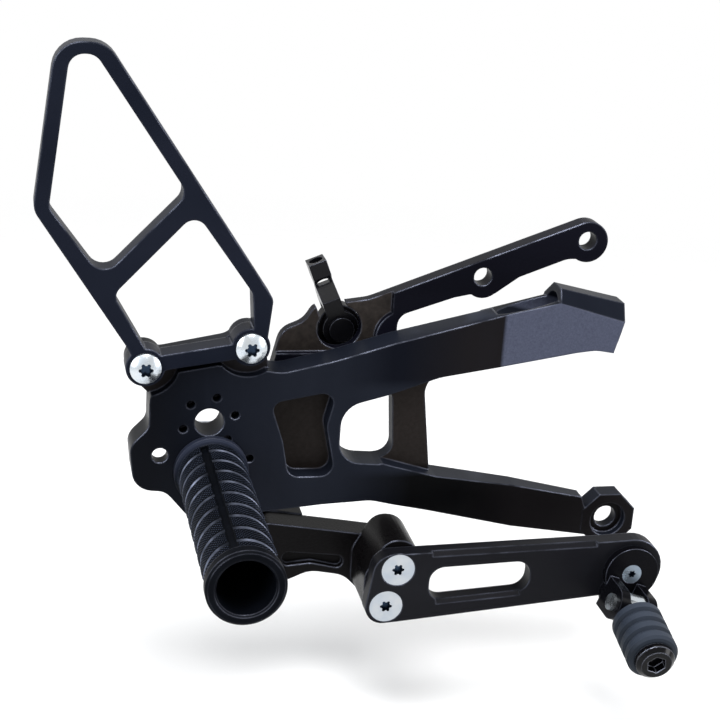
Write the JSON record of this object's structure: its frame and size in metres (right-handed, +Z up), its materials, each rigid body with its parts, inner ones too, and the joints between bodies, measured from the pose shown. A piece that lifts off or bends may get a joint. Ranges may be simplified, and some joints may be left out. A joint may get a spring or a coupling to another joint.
{
  "type": "motorcycle footrest bracket",
  "caption": "Brake side footrest assembly for a motorcycle: machined bracket with heel guard, grooved foot peg, hinged brake lever, folding toe peg, cylinder stay and push rod fork.",
  "frame": {"origin": "centre of the seat of the lower frame bolt's head, where the lower arm of the bracket bolts to the motorcycle", "axes": "+X towards the front of the motorcycle, +Y inwards to the motorcycle so that the rider's side faces -Y, +Z up"},
  "size_m": [0.2226, 0.1215, 0.2012],
  "materials": {
    "black_anodised": "black anodised, fine machined satin",
    "zinc_steel": "bright zinc plated steel",
    "bronze": "sintered bearing bronze",
    "grip_rubber": "matt dark grey-blue rubber"
  },
  "bodies": {
    "bracket": {"main_bracket": "black_anodised", "heel_guard": "black_anodised", "guard_screw_rear": "zinc_steel", "guard_screw_front": "zinc_steel", "foot_peg": "black_anodised", "peg_dowels": "zinc_steel", "peg_bolt": "zinc_steel", "pivot_sleeve": "zinc_steel", "thrust_washer": "zinc_steel", "pivot_nut": "zinc_steel", "stop_pin": "zinc_steel", "pump_stay": "black_anodised", "stay_screw_rear": "zinc_steel", "stay_screw_front": "zinc_steel"},
    "lever": {"brake_lever": "black_anodised", "bush_outer": "bronze", "bush_inner": "bronze", "toe_plate": "black_anodised", "toe_screw_upper": "zinc_steel", "toe_screw_lower": "zinc_steel", "toe_adjuster": "black_anodised", "toe_clamp_screw": "zinc_steel", "detent_plunger": "zinc_steel", "toe_hinge_pin": "zinc_steel", "rod_pin": "zinc_steel", "rod_clip": "zinc_steel"},
    "toe_peg": {"toe_peg_core": "zinc_steel", "toe_rubber": "grip_rubber", "toe_cap": "black_anodised"},
    "fork": {"pushrod_fork": "zinc_steel"}
  },
  "joints": [
    {"name": "brake_lever_pivot", "type": "hinge", "parent": "bracket", "child": "lever", "pos_m": [-0.1524, 0.0075, 0.0273], "axis": [0, 1, 0], "range_deg": [0, 10], "stiffness_Nm_per_rad": 1.2, "springref_deg": -20.05},
    {"name": "toe_peg_fold", "type": "hinge", "parent": "lever", "child": "toe_peg", "pos_m": [-0.00588, -0.046, -0.01376], "axis": [-0.9397, 0, 0.342], "range_deg": [0, 80], "stiffness_Nm_per_rad": 0.02, "springref_deg": -28.65},
    {"name": "push_rod_fork_swing", "type": "hinge", "parent": "lever", "child": "fork", "pos_m": [-0.1046, 0.018, 0.0718], "axis": [0, 1, 0], "range_deg": [-15, 100]}
  ]
}
